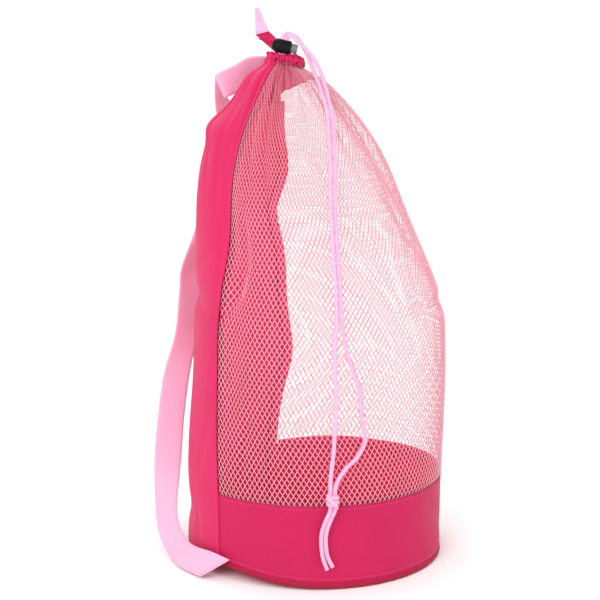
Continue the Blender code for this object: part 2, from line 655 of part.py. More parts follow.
def main():
    clear_scene()
    hot_pink = make_material("hot_pink_nylon", (0.80, 0.035, 0.150), 0.55)
    deep_pink = make_material("deep_pink_binding", (0.48, 0.015, 0.065), 0.60)
    net_pink = make_material("pink_net", (0.90, 0.42, 0.52), 0.70)
    light_pink = make_material("light_pink_webbing", (0.95, 0.46, 0.66), 0.75)
    thread = make_material("light_pink_thread", (0.90, 0.40, 0.58), 0.60)
    black = make_material("black_plastic", (0.012, 0.012, 0.013), 0.35)
    steel = make_material("spring_steel", (0.60, 0.60, 0.62), 0.30, 1.0)

    build_base(hot_pink, deep_pink)
    build_walls(hot_pink, net_pink, deep_pink)
    loop_radius, loop_height = build_casing(hot_pink)
    build_drawcord(light_pink, loop_radius, loop_height)
    build_cord_lock(black, steel)
    build_strap(light_pink, thread)
    build_hanging_tab(hot_pink, light_pink, thread)


main()
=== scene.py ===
import math

import bpy
import numpy as np
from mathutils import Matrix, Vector


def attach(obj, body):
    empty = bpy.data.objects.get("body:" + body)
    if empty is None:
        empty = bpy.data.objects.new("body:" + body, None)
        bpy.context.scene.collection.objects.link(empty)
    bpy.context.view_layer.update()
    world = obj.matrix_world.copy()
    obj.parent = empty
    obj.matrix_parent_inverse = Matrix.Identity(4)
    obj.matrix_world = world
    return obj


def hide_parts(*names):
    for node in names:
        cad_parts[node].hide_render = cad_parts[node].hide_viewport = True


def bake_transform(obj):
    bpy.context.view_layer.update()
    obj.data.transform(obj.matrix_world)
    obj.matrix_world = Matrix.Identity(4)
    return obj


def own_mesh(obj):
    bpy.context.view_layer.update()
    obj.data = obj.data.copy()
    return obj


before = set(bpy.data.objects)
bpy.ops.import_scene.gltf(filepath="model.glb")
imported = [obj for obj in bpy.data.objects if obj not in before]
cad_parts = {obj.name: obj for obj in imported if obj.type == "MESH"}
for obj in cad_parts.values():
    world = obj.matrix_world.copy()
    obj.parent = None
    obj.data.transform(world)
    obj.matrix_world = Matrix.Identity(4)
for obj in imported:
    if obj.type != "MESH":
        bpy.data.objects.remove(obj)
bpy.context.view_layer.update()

CAMERA_PLACE = (0.0, -2.0, 0.69)
CAMERA_AIM = (-0.017, 0.0, 0.300)
CAMERA_LENS = 105.0
CAMERA_SENSOR = 36.0
WORLD_STRENGTH = 1.04
LIGHT_AIM = (0.0, 0.0, 0.30)
LIGHTS = (                   # (name, place, side, watts)
    ("key", (-0.8, -2.0, 1.5), 1.2, 24.0),
    ("fill", (1.5, -1.6, 0.9), 1.6, 7.0),
    ("rim", (-1.0, 1.4, 1.6), 1.4, 8.0),
)

# The bag's driving sizes, in metres and degrees, as the CAD has them
BAG_RADIUS = 0.150
BINDING_HEIGHT = 0.0085
BAND_TOP = 0.095
NECK_BASE = 0.572
MOUTH_TOP = 0.584
NECK_RADIUS = 0.0215
MOUTH_LEAN = -0.034
SHOULDER_RISE = 3.0          # the higher, the later the shoulder starts to close in
SHOULDER_CLOSE = 0.787       # the higher, the more pointed it ends
LEAN_START = 0.45            # share of the way up to the neck where the mouth's lean begins
LEAN_SPAN = 0.40
SIDE_AZIMUTH = 108.0
SIDE_SPREAD = 26.0
SIDE_BULGES = ((0.35, 0.094, 0.0065), (0.807, 0.094, 0.0165))
SIDE_FADE = 0.04
FACING_HEM = 0.522           # lowest that the facing inside the mouth hangs
FACING_TOP = 0.580
FACING_HEMS = (              # (azimuth, height) of its uneven hem
    (0.0, 0.546), (50.0, 0.558), (145.0, 0.558), (168.0, 0.549), (186.0, 0.536),
    (200.0, 0.530), (230.0, 0.524),
    (325.0, 0.522), (342.0, 0.531), (360.0, 0.546),
)
CORD_DIAMETER = 0.0046
RIM_SINK = 0.0030            # how far the rolled rim sinks behind the top of the panel
RIM_SINK_AZIMUTH = -100.0
CORD_IN_CASING = (0.5787, 0.0063)  # height, and depth of its centre inside the wall
WEBBING_THICKNESS = 0.0016
TRIM_THICKNESS = 0.0012      # cloth of the hanging tab and webbing of its loop
CLOTH_THICKNESS = 0.0009     # the panel and the facing
BAND_THICKNESS = 0.0008
TAPE_THICKNESS = 0.0007
TAPE_DEPTH = 0.0026          # how far inside the wall's face the seam tapes lie
TAPE_HALF_WIDTH = 0.0055
SEAM_ALLOWANCE = 0.0015      # how far cloth starts below or inside a seam
PIPING_SIDES = 14
PIPING_RADIUS = 0.0029       # half of the piping's depth; its height is BINDING_HEIGHT
PIPING_SQUARENESS = 0.7      # 1 is a round section, lower is squarer
DISC_RADIUS = 0.1438
DISC_THICKNESS = 0.0018

# Seams as (height, azimuth) points: the panel narrows towards the front as it rises
FRONT_SEAM = (
    (0.000, -46.0), (0.090, -46.5), (0.205, -49.0), (0.318, -50.5), (0.385, -44.5),
    (0.468, -39.0), (0.537, -33.0), (0.590, -30.0),
)
REAR_SEAM = (
    (0.000, 200.0), (0.090, 201.7), (0.145, 198.6), (0.208, 192.3), (0.273, 196.2),
    (0.370, 198.6), (0.393, 199.3), (0.420, 190.0), (0.450, 184.0), (0.590, 188.0),
)

# Cloth that sits higher or lower than the round: (azimuth, height, spread in degrees, spread
# in height, rise)
LIFTS = (
    (-44.0, 0.000, 19.0, 0.030, 0.0125),
    (-75.0, 0.000, 12.0, 0.020, 0.0050),
    (201.0, 0.095, 20.0, 0.014, -0.0090),
    (150.0, 0.095, 16.0, 0.014, -0.0030),
    (78.0, 0.586, 42.0, 0.016, -0.0085),
)
# Gathers below the mouth: (how many round, phase, share of the way up where they start,
# share where they are deepest, greatest depth, depth at the neck)
GATHERS = (
    (8, 0.5, 0.42, 0.86, 0.0085, 0.0000),
    (17, 1.3, 0.64, 0.93, 0.0070, 0.0010),
    (29, 0.2, 0.84, 0.97, 0.0040, 0.0026),
)
# Soft hollows and swellings: (azimuth, height, spread in degrees, spread in height, depth)
HOLLOWS = (
    (-92.0, 0.309, 26.0, 0.011, 0.0035),
    (-92.0, 0.225, 28.0, 0.055, 0.0062),
    (-92.0, 0.056, 24.0, 0.012, 0.0038),
    (-60.0, 0.430, 14.0, 0.030, 0.0035),
    (-118.0, 0.400, 14.0, 0.040, 0.0040),
    (90.0, 0.290, 30.0, 0.022, -0.0030),
    (95.0, 0.190, 32.0, 0.050, -0.0030),
    (70.0, 0.370, 16.0, 0.030, 0.0030),
    (35.0, 0.330, 14.0, 0.045, 0.0025),
    (-15.0, 0.250, 12.0, 0.070, 0.0022),
    (12.0, 0.060, 18.0, 0.022, 0.0014),
    (55.0, 0.050, 15.0, 0.026, 0.0012),
    (150.0, 0.160, 20.0, 0.050, 0.0040),
    (-78.0, 0.562, 34.0, 0.011, -0.0062),
    (-92.0, 0.504, 24.0, 0.0115, -0.0092),
    (-40.0, 0.365, 5.5, 0.050, 0.0075),
    (-30.0, 0.480, 7.0, 0.030, 0.0060),
    (-41.0, 0.235, 5.0, 0.045, 0.0050),
    (-26.0, 0.150, 6.0, 0.035, 0.0035),
    (28.0, 0.450, 9.0, 0.040, 0.0040),
    (58.0, 0.300, 7.0, 0.050, 0.0040),
)
# Creases in the solid cloth: (azimuth, height) at each end, width and depth
PANEL_CREASES = (
    ((-112, 0.330), (-62, 0.296), 0.0060, 0.0026),
    ((-104, 0.309), (-76, 0.318), 0.0045, 0.0018),
    ((-75, 0.345), (-55, 0.372), 0.0060, 0.0016),
    ((-100, 0.470), (-84, 0.385), 0.0070, 0.0022),
    ((-62, 0.520), (-54, 0.410), 0.0060, 0.0024),
    ((-84, 0.535), (-70, 0.440), 0.0050, 0.0020),
    ((-104, 0.110), (-84, 0.066), 0.0050, 0.0020),
    ((-88, 0.098), (-72, 0.050), 0.0045, 0.0016),
    ((-70, 0.085), (-62, 0.016), 0.0050, 0.0018),
    ((-140, 0.260), (-112, 0.205), 0.0070, 0.0024),
    ((-150, 0.420), (-128, 0.330), 0.0070, 0.0026),
    ((-52, 0.200), (-60, 0.120), 0.0050, 0.0010),
)
BAND_CREASES = (
    ((-40, 0.088), (-34, 0.020), 0.0035, 0.0012),
    ((-22, 0.080), (2, 0.058), 0.0080, 0.0010),
    ((34, 0.090), (52, 0.040), 0.0070, 0.0012),
    ((62, 0.070), (88, 0.030), 0.0060, 0.0010),
    ((120, 0.085), (150, 0.030), 0.0070, 0.0014),
    ((-10, 0.030), (40, 0.022), 0.0060, 0.0008),
)
NET_CREASES = (
    ((30, 0.425), (46, 0.308), 0.0050, 0.0050),
    ((17, 0.440), (34, 0.340), 0.0045, 0.0040),
    ((10, 0.520), (28, 0.430), 0.0060, 0.0060),
    ((50, 0.304), (102, 0.298), 0.0070, 0.0045),
    ((-31, 0.420), (-33, 0.355), 0.0060, 0.0060),
    ((-33, 0.360), (-47, 0.298), 0.0060, 0.0070),
    ((-30, 0.200), (-34, 0.120), 0.0040, 0.0030),
    ((60, 0.440), (80, 0.350), 0.0060, 0.0040),
)

# Net: cells across its foot, height of a row, and half of a hole as shares of a cell
NET_COLUMNS = 105
NET_ROW = 0.00475
NET_HALF_YARN = 0.00042
NET_HOLE = (0.426, 0.190, 0.448, 0.838)

# Centre lines of the drawcord, from the casing through the lock and the knot to the cut end
CORD_LEFT = (
    (-0.0407, -0.0138, 0.5797), (-0.0405, -0.0148, 0.5846), (-0.0385, -0.0148, 0.5939),
    (-0.0365, -0.0148, 0.6032), (-0.0350, -0.0136, 0.6060), (-0.0318, -0.0122, 0.6075),
    (-0.0272, -0.0116, 0.6064), (-0.0196, -0.0120, 0.6020), (-0.0114, -0.0137, 0.5895),
    (-0.0048, -0.0180, 0.5745), (0.0008, -0.0240, 0.5610), (0.0079, -0.0386, 0.5430),
    (0.0143, -0.0592, 0.5165), (0.0169, -0.0878, 0.4710), (0.0168, -0.1092, 0.4320),
    (0.0184, -0.1205, 0.4050), (0.0203, -0.1325, 0.3707), (0.0228, -0.1400, 0.3400),
    (0.0240, -0.1450, 0.3058), (0.0215, -0.1475, 0.2800), (0.0223, -0.1505, 0.2500),
    (0.0240, -0.1520, 0.2151), (0.0225, -0.1532, 0.1873), (0.0210, -0.1545, 0.1600),
    (0.0180, -0.1560, 0.1320), (0.0178, -0.1585, 0.1175),
    (0.0178, -0.1585, 0.0965), (0.0138, -0.1560, 0.0852), (0.0088, -0.1545, 0.0700),
    (0.0078, -0.1540, 0.0560), (0.0098, -0.1540, 0.0391), (0.0145, -0.1540, 0.0255),
)
CORD_RIGHT = (
    (-0.0359, -0.0151, 0.5797), (-0.0357, -0.0148, 0.5836), (-0.0337, -0.0148, 0.5929),
    (-0.0317, -0.0148, 0.6022), (-0.0303, -0.0162, 0.6048), (-0.0270, -0.0175, 0.6055),
    (-0.0230, -0.0181, 0.6032), (-0.0182, -0.0187, 0.5980), (-0.0070, -0.0188, 0.5868),
    (0.0020, -0.0228, 0.5738), (0.0076, -0.0285, 0.5615), (0.0138, -0.0398, 0.5420),
    (0.0196, -0.0592, 0.5155), (0.0220, -0.0868, 0.4710), (0.0219, -0.1078, 0.4320),
    (0.0234, -0.1195, 0.4050), (0.0253, -0.1315, 0.3707), (0.0278, -0.1390, 0.3400),
    (0.0292, -0.1440, 0.3058), (0.0336, -0.1458, 0.2773), (0.0419, -0.1462, 0.2495),
    (0.0497, -0.1452, 0.2247), (0.0510, -0.1458, 0.2067), (0.0544, -0.1452, 0.1817),
    (0.0555, -0.1450, 0.1690), (0.0468, -0.1485, 0.1530), (0.0348, -0.1525, 0.1415),
    (0.0262, -0.1560, 0.1295), (0.0228, -0.1585, 0.1175),
    (0.0228, -0.1585, 0.0965), (0.0188, -0.1560, 0.0852), (0.0138, -0.1545, 0.0700),
    (0.0128, -0.1540, 0.0560), (0.0150, -0.1540, 0.0405), (0.0205, -0.1540, 0.0285),
)
KNOT_CENTRE = (0.0203, -0.1590, 0.1070)

# The strap and the hanging tab as pairs of edge points
STRAP = (
    ((-0.0400, 0.0240, 0.5795), (-0.0370, 0.0480, 0.5570)),
    ((-0.0520, 0.0250, 0.5798), (-0.0480, 0.0475, 0.5560)),
    ((-0.0658, 0.0269, 0.5800), (-0.0603, 0.0470, 0.5547)),
    ((-0.0775, 0.0300, 0.5785), (-0.0727, 0.0476, 0.5527)),
    ((-0.0925, 0.0340, 0.5695), (-0.0830, 0.0470, 0.5415)),
    ((-0.1115, 0.0360, 0.5605), (-0.1040, 0.0480, 0.5310)),
    ((-0.1165, 0.0520, 0.5530), (-0.1060, 0.0750, 0.5320)),
    ((-0.1180, 0.0720, 0.5250), (-0.0960, 0.0940, 0.5140)),
    ((-0.1160, 0.0900, 0.4900), (-0.0910, 0.1090, 0.4880)),
    ((-0.1210, 0.0970, 0.4500), (-0.0950, 0.1155, 0.4500)),
    ((-0.1340, 0.0920, 0.4100), (-0.1070, 0.1085, 0.4100)),
    ((-0.1450, 0.0800, 0.3670), (-0.1195, 0.0993, 0.3670)),
    ((-0.1595, 0.0620, 0.3270), (-0.1375, 0.0852, 0.3270)),
    ((-0.1620, 0.0545, 0.2990), (-0.1365, 0.0738, 0.2990)),
    ((-0.1670, 0.0460, 0.2500), (-0.1403, 0.0636, 0.2500)),
    ((-0.1803, 0.0370, 0.2030), (-0.1495, 0.0457, 0.2030)),
    ((-0.1870, 0.0220, 0.1540), (-0.1555, 0.0275, 0.1540)),
    ((-0.1905, 0.0080, 0.1050), (-0.1585, 0.0090, 0.1050)),
    ((-0.1893, -0.0030, 0.0600), (-0.1618, -0.0193, 0.0600)),
    ((-0.1845, -0.0230, 0.0280), (-0.1582, -0.0376, 0.0390)),
    ((-0.1710, -0.0480, 0.0070), (-0.1480, -0.0560, 0.0275)),
    ((-0.1546, -0.0808, 0.0020), (-0.1365, -0.0800, 0.0270)),
    ((-0.1305, -0.1120, 0.0020), (-0.1150, -0.1060, 0.0290)),
    ((-0.1290, -0.1138, 0.0022), (-0.0950, -0.1235, 0.0260)),
)
TAB = (
    ((-0.0450, 0.0155, 0.5850), (-0.0290, 0.0155, 0.5850)),
    ((-0.0530, 0.0140, 0.5920), (-0.0370, 0.0140, 0.5940)),
    ((-0.0610, 0.0125, 0.5990), (-0.0450, 0.0125, 0.6020)),
    ((-0.0680, 0.0120, 0.6052), (-0.0525, 0.0120, 0.6093)),
)
LOOP_BASE = (-0.0603, 0.0120, 0.6078)
LOOP_HEIGHT = 0.0270
LOOP_HALF_GAP = 0.0042


# ---- shape of the bag ----

def smooth_step(share):
    share = np.clip(share, 0.0, 1.0)
    return share * share * (3.0 - 2.0 * share)


def bell(offset, spread):
    return np.exp(-(offset / spread) ** 2 / 2)


def turn_from(azimuth, middle):
    return (azimuth - middle + 180.0) % 360.0 - 180.0


def share_up(height):
    return np.clip((height - BAND_TOP) / (NECK_BASE - BAND_TOP), 0.0, 1.0)


def wall_radius(height):
    closing = (1.0 - share_up(height) ** SHOULDER_RISE) ** SHOULDER_CLOSE
    return NECK_RADIUS + (BAG_RADIUS - NECK_RADIUS) * closing


def wall_centre(height):
    return MOUTH_LEAN * smooth_step((share_up(height) - LEAN_START) / LEAN_SPAN)


def side_bulge(azimuth, height):
    share = share_up(height)
    out = sum(reach * bell(share - at, spread) for at, spread, reach in SIDE_BULGES)
    out = out * smooth_step((1.0 - share) / SIDE_FADE)
    return out * bell(turn_from(azimuth, SIDE_AZIMUTH), SIDE_SPREAD)


def gathers(azimuth, height):
    """How deep the cloth is drawn into the folds that run down from the mouth."""
    share = share_up(height)
    turn = np.radians(azimuth)
    uneven = turn + 0.16 * np.sin(3 * turn + 0.6) + 0.08 * np.sin(5 * turn + 2.1)
    depth = np.zeros(np.shape(azimuth))
    for count, phase, start, deepest, depth_there, depth_at_neck in GATHERS:
        valley = (1.0 - np.abs(np.sin(count * uneven / 2 + phase + 0.8 * share))) ** 1.4
        grown = smooth_step((share - start) / (deepest - start)) * depth_there
        neck = smooth_step((share - deepest) / (1.0 - deepest))
        depth = depth + valley * (grown + (depth_at_neck - depth_there) * neck)
    return depth


def hollows(azimuth, height):
    depth = np.zeros(np.shape(azimuth))
    for at, level, spread, tall, deep in HOLLOWS:
        depth = depth + deep * bell(turn_from(azimuth, at), spread) * bell(height - level, tall)
    return depth


def lift(azimuth, height):
    return sum(rise * bell(turn_from(azimuth, at), spread) * bell(height - level, tall)
               for at, level, spread, tall, rise in LIFTS)


def creases(azimuth, height, lines):
    """Shallow valleys along straight lines on the cloth laid flat."""
    across = np.radians(turn_from(azimuth, 0.0)) * BAG_RADIUS
    depth = np.zeros(np.shape(azimuth))
    for (start_turn, start_height), (end_turn, end_height), width, deep in lines:
        start = np.array((math.radians(start_turn) * BAG_RADIUS, start_height))
        run = np.array((math.radians(end_turn) * BAG_RADIUS, end_height)) - start
        share = ((across - start[0]) * run[0] + (height - start[1]) * run[1]) / (run @ run)
        share = np.clip(share, 0.0, 1.0)
        away = np.hypot(across - start[0] - share * run[0], height - start[1] - share * run[1])
        depth = depth + deep * bell(away, width) * (0.35 + 0.65 * np.sin(np.pi * share))
    return depth


def shell(azimuth, height, depth, lines=()):
    """Points on the bag's wall, depth inside its outer face."""
    azimuth, height, depth = np.broadcast_arrays(azimuth, height, depth)
    inwards = gathers(azimuth, height) + hollows(azimuth, height) + depth
    if lines:
        inwards = inwards + creases(azimuth, height, lines)
    radius = wall_radius(height) + side_bulge(azimuth, height) - inwards
    turn = np.radians(azimuth)
    return np.stack((
        wall_centre(height) + radius * np.sin(turn),
        -radius * np.cos(turn),
        height + lift(azimuth, height),
    ), axis=-1)


def seam_azimuth(seam, height):
    """A seam's azimuth at a height, rounded off between its points."""
    levels, turns = zip(*seam)
    shifts = np.linspace(-0.016, 0.016, 7)
    return sum(np.interp(height + shift, levels, turns) for shift in shifts) / len(shifts)


def smooth_path(points, spacing):
    """Points read off a Catmull-Rom curve through a route's own points."""
    route = [np.array(p, dtype=float).ravel() for p in points]
    padded = [2 * route[0] - route[1]] + route + [2 * route[-1] - route[-2]]
    path = []
    for before, start, end, after in zip(padded, padded[1:], padded[2:], padded[3:]):
        steps = max(1, round(float(np.linalg.norm((end - start)[:3])) / spacing))
        for t in np.arange(steps) / steps:
            path.append(0.5 * (
                2 * start + (end - before) * t
                + (2 * before - 5 * start + 4 * end - after) * t ** 2
                + (3 * start - before - 3 * end + after) * t ** 3
            ))
    path.append(route[-1])
    return np.array(path)


# ---- mesh making ----

def make_piece(name, vertices, faces, uvs, material, body, sharp=None):
    """A smooth-shaded mesh that rides on a body, with one UV pair for each vertex."""
    mesh = bpy.data.meshes.new(name)
    mesh.from_pydata(np.asarray(vertices).tolist(), [], faces)
    layer = mesh.uv_layers.new(name="UVMap")
    loops = np.empty(len(mesh.loops), dtype=np.int64)
    mesh.loops.foreach_get("vertex_index", loops)
    layer.data.foreach_set("uv", np.asarray(uvs, dtype=np.float32)[loops].ravel())
    mesh.materials.append(material)
    mesh.shade_smooth()
    if sharp is not None:
        mesh.set_sharp_from_angle(angle=math.radians(sharp))
    mesh.validate()
    piece = bpy.data.objects.new(name, mesh)
    bpy.context.collection.objects.link(piece)
    if body is not None:
        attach(piece, body)
    return piece


def two_faced(name, outer, inner, uvs, material, body, closed=False, sharp=None, inner_painted_light=None):
    """A sheet with two faces and a rim from two grids of points of the same shape."""
    rows, columns = outer.shape[:2]
    vertices = np.concatenate((outer.reshape(-1, 3), inner.reshape(-1, 3)))
    both = np.concatenate((uvs.reshape(-1, 2), uvs.reshape(-1, 2)))
    back = rows * columns
    faces = []
    last = columns if closed else columns - 1
    for r in range(rows - 1):
        for c in range(last):
            a, b = r * columns + c, r * columns + (c + 1) % columns
            d, e = a + columns, b + columns
            faces.append((a, b, e, d))
            faces.append((back + a, back + d, back + e, back + b))
    for c in range(last):
        a, b = c, (c + 1) % columns
        faces.append((a, back + a, back + b, b))
        a, b = (rows - 1) * columns + a, (rows - 1) * columns + b
        faces.append((a, b, back + b, back + a))
    if not closed:
        for r in range(rows - 1):
            a, d = r * columns, (r + 1) * columns
            faces.append((a, d, back + d, back + a))
            a, d = a + columns - 1, d + columns - 1
            faces.append((a, back + a, back + d, d))
    piece = make_piece(name, vertices, faces, both, material, body, sharp)
    # The inner faces get the lighter material: painted light for the light that comes through the
    # thin cloth
    if inner_painted_light is not None:
        piece.data.materials.append(inner_painted_light)
        inside = np.zeros(len(piece.data.polygons), dtype=np.int32)
        inside[1:2 * (rows - 1) * last:2] = 1
        piece.data.polygons.foreach_set("material_index", inside)
    return piece


def wall_cloth(name, first, last, heights, depth, thickness, columns, material, lines=()):
    """Cloth that follows the wall between two seams, each an azimuth for every height."""
    across = np.linspace(0.0, 1.0, columns)
    turns = first[:, None] + (last - first)[:, None] * across
    levels = np.broadcast_to(heights[:, None], turns.shape)
    depths = np.broadcast_to(np.asarray(depth, dtype=float).reshape(-1, 1), turns.shape)
    outer = shell(turns, levels, depths, lines)
    inner = shell(turns, levels, depths + thickness, lines)
    uvs = np.stack((np.radians(turns) * BAG_RADIUS, levels), axis=-1)
    # Inner faces take the lighter pink, painted light for light through the cloth
    return two_faced(name, outer, inner, uvs, material, "bag", inner_painted_light=PINK_INSIDE_PAINTED_LIGHT)


def webbing(name, edges, thickness, material, body, spacing=0.006, columns=9, ripple=0.0):
    """A flat woven band whose edges follow pairs of points, with rounded selvedges."""
    rows = smooth_path([(*left, *right) for left, right in edges], spacing)
    lefts, rights = rows[:, :3], rows[:, 3:]
    middles = (lefts + rights) / 2
    along = np.gradient(middles, axis=0)
    faces = np.cross(along, rights - lefts)
    faces /= np.linalg.norm(faces, axis=1)[:, None]
    distance = np.concatenate(((0.0,), np.cumsum(np.linalg.norm(np.diff(middles, axis=0), axis=1))))
    across = np.linspace(0.0, 1.0, columns)
    across = across - 0.35 * np.sin(2 * np.pi * across) / (2 * np.pi)
    centre = lefts[:, None] + (rights - lefts)[:, None] * across[:, None]
    swell = np.sqrt(np.clip(1.0 - np.abs(2 * across - 1.0) ** 6, 0.12, 1.0)) * thickness / 2
    wave = ripple * np.sin(distance[:, None] * 420.0 + 5.0 * across) * np.sin(np.pi * across)
    outer = centre + faces[:, None] * (swell + wave)[..., None]
    inner = centre - faces[:, None] * (swell - wave)[..., None]
    width = float(np.linalg.norm(rights - lefts, axis=1).mean())
    uvs = np.stack(np.broadcast_arrays(across * width, distance[:, None]), axis=-1)
    return two_faced(name, outer, inner, uvs, material, body), float(distance[-1])


def round_cord(name, path, diameter, material, body, sides=14):
    """A cord swept along a path, with its ring of points carried along without twist."""
    path = np.asarray(path)
    along = np.gradient(path, axis=0)
    along /= np.linalg.norm(along, axis=1)[:, None]
    side = np.cross(along[0], (0.0, 0.3, 1.0))
    side /= np.linalg.norm(side)
    distance = np.concatenate(((0.0,), np.cumsum(np.linalg.norm(np.diff(path, axis=0), axis=1))))
    vertices, uvs, faces = [], [], []
    angles = 2 * np.pi * np.arange(sides) / sides
    for place, direction, run in zip(path, along, distance):
        side = side - direction * (side @ direction)
        side /= np.linalg.norm(side)
        up = np.cross(direction, side)
        ring = place + diameter / 2 * (np.cos(angles)[:, None] * side + np.sin(angles)[:, None] * up)
        vertices.extend(ring)
        uvs.extend((angle / (2 * np.pi), run) for angle in angles)
    for r in range(len(path) - 1):
        for s in range(sides):
            a, b = r * sides + s, r * sides + (s + 1) % sides
            faces.append((a, b, b + sides, a + sides))
    faces.append(tuple(range(sides))[::-1])
    faces.append(tuple(range((len(path) - 1) * sides, len(path) * sides)))
    return make_piece(name, vertices, faces, uvs, material, body, sharp=50.0), float(distance[-1])


def stitches(name, path, outwards, material, body, pitch=0.0038, length=0.0027, width=0.0008):
    """A row of thread stitches lying along a path, each a small spindle."""
    path = np.asarray(path)
    steps = np.linalg.norm(np.diff(path, axis=0), axis=1)
    distance = np.concatenate(((0.0,), np.cumsum(steps)))
    places = np.arange(pitch, distance[-1] - pitch, pitch)
    vertices, faces, uvs = [], [], []
    angles = 2 * np.pi * np.arange(6) / 6

    def read(values, at):
        return np.array([np.interp(at, distance, values[:, k]) for k in range(3)])

    for at in places:
        start, end = read(path, at - length / 2), read(path, at + length / 2)
        normal = read(outwards, at)
        along = (end - start) / np.linalg.norm(end - start)
        normal -= along * (normal @ along)
        normal /= np.linalg.norm(normal)
        side = np.cross(along, normal)
        first = len(vertices)
        vertices.append(start - normal * width * 0.3)
        for share in (0.22, 0.78):
            centre = start + (end - start) * share
            for angle in angles:
                reach = math.cos(angle) * side + 0.6 * math.sin(angle) * normal
                vertices.append(centre + reach * width / 2)
        vertices.append(end - normal * width * 0.3)
        uvs.extend([(at, 0.0)] * 14)
        for k in range(6):
            n = (k + 1) % 6
            faces.append((first, first + 1 + n, first + 1 + k))
            faces.append((first + 1 + k, first + 1 + n, first + 7 + n, first + 7 + k))
            faces.append((first + 13, first + 7 + k, first + 7 + n))
    return make_piece(name, vertices, faces, uvs, material, body)


# ---- materials ----

class Graph:
    """A material's node tree with short ways to add to it."""

    def __init__(self, name, colour, roughness, metallic=0.0):
        self.material = bpy.data.materials.new(name)
        self.material.use_nodes = True
        self.nodes = self.material.node_tree.nodes
        self.links = self.material.node_tree.links
        self.shader = self.nodes["Principled BSDF"]
        self.colour = colour
        self.shader.inputs["Base Color"].default_value = (*colour, 1.0)
        self.shader.inputs["Roughness"].default_value = roughness
        self.shader.inputs["Metallic"].default_value = metallic

    def add(self, kind, **settings):
        node = self.nodes.new(kind)
        for key, value in settings.items():
            setattr(node, key, value)
        return node

    def math(self, operation, *values):
        node = self.add("ShaderNodeMath", operation=operation)
        for socket, value in zip(node.inputs, values):
            if isinstance(value, (int, float)):
                socket.default_value = value
            else:
                self.links.new(value, socket)
        return node.outputs[0]

    def uv(self):
        split = self.add("ShaderNodeSeparateXYZ")
        self.links.new(self.add("ShaderNodeUVMap", uv_map="UVMap").outputs[0], split.inputs[0])
        return split.outputs[0], split.outputs[1]

    def wave(self, value, pitch):
        """A wave of height -1 to 1 that repeats every pitch."""
        return self.math("SINE", self.math("MULTIPLY", value, 2 * math.pi / pitch))

    def noise(self, scale, detail=3.0, stretch=(1.0, 1.0, 1.0)):
        place = self.add("ShaderNodeTexCoord").outputs["Object"]
        mapping = self.add("ShaderNodeMapping")
        mapping.inputs["Scale"].default_value = stretch
        self.links.new(place, mapping.inputs["Vector"])
        texture = self.add("ShaderNodeTexNoise")
        texture.inputs["Scale"].default_value = scale
        texture.inputs["Detail"].default_value = detail
        self.links.new(mapping.outputs[0], texture.inputs["Vector"])
        return texture.outputs["Fac"]

    def spread(self, value, low, high, floor=0.0, ceiling=1.0):
        node = self.add("ShaderNodeMapRange")
        self.links.new(value, node.inputs["Value"])
        for key, number in zip(("From Min", "From Max", "To Min", "To Max"),
                               (floor, ceiling, low, high)):
            node.inputs[key].default_value = number
        return node.outputs[0]

    def tint(self, value, dark, light):
        """The base colour, from dark to light shares of it as a value goes from 0 to 1."""
        mix = self.add("ShaderNodeMix", data_type="RGBA")
        self.links.new(value, mix.inputs["Factor"])
        for socket in mix.inputs:
            if socket.type == "RGBA":
                share = dark if socket.name == "A" else light
                socket.default_value = (*(min(c * share, 1.0) for c in self.colour), 1.0)
        result = next(socket for socket in mix.outputs if socket.type == "RGBA")
        self.links.new(result, self.shader.inputs["Base Color"])

    def bump(self, height, distance, strength=1.0, before=None):
        node = self.add("ShaderNodeBump")
        node.inputs["Strength"].default_value = strength
        node.inputs["Distance"].default_value = distance
        self.links.new(height, node.inputs["Height"])
        if before is not None:
            self.links.new(before, node.inputs["Normal"])
        self.links.new(node.outputs[0], self.shader.inputs["Normal"])
        return node.outputs[0]

    def sheen(self, weight, roughness, tint):
        self.shader.inputs["Sheen Weight"].default_value = weight
        self.shader.inputs["Sheen Roughness"].default_value = roughness
        self.shader.inputs["Sheen Tint"].default_value = (*tint, 1.0)


def nylon(name, colour, roughness=0.50, thread=0.0007):
    """Plain-woven nylon: fine threads both ways, slow random changes of tone, painted shade in the
    gaps between the threads and a soft sheen.
    """
    graph = Graph(name, colour, roughness)
    across, along = graph.uv()
    weave = graph.math("MULTIPLY", graph.wave(across, thread), graph.wave(along, thread))
    cloud = graph.noise(16.0, 4.0)
    # The cloud is random tone; the weave term darkens the gaps between the threads, which is painted
    # shade
    shade = graph.math("ADD", graph.math("MULTIPLY", cloud, 0.8),
                       graph.spread(weave, 0.0, 0.2, -1.0, 1.0))
    graph.tint(shade, 0.86, 1.10)
    crumple = graph.bump(graph.noise(42.0, 4.0, (1.0, 1.0, 0.55)), 0.0010, 0.22)
    graph.bump(weave, 0.00008, 0.45, crumple)
    graph.links.new(graph.spread(cloud, roughness - 0.07, roughness + 0.10),
                    graph.shader.inputs["Roughness"])
    graph.sheen(0.02, 0.40, (1.0, 0.60, 0.72))
    graph.shader.inputs["Specular IOR Level"].default_value = 0.16
    return graph.material


def ribbed_webbing(name, colour):
    """Woven webbing: ribs across it, fine warp threads along it and flat selvedges."""
    graph = Graph(name, colour, 0.72)
    across, along = graph.uv()
    rib = graph.wave(along, 0.0016)
    warp = graph.wave(across, 0.0011)
    height = graph.math("ADD", graph.math("MULTIPLY", rib, 0.6), graph.math("MULTIPLY", warp, 0.4))
    cloud = graph.noise(24.0, 3.0)
    # The cloud is random tone; the rib and warp height darkens the valleys between ribs and threads,
    # which is painted shade
    shade = graph.math("ADD", graph.math("MULTIPLY", cloud, 0.6),
                       graph.spread(height, 0.0, 0.4, -1.0, 1.0))
    graph.tint(shade, 0.88, 1.06)
    graph.bump(height, 0.00022, 0.55)
    graph.links.new(graph.spread(cloud, 0.64, 0.80), graph.shader.inputs["Roughness"])
    graph.sheen(0.30, 0.45, (1.0, 0.88, 0.94))
    return graph.material


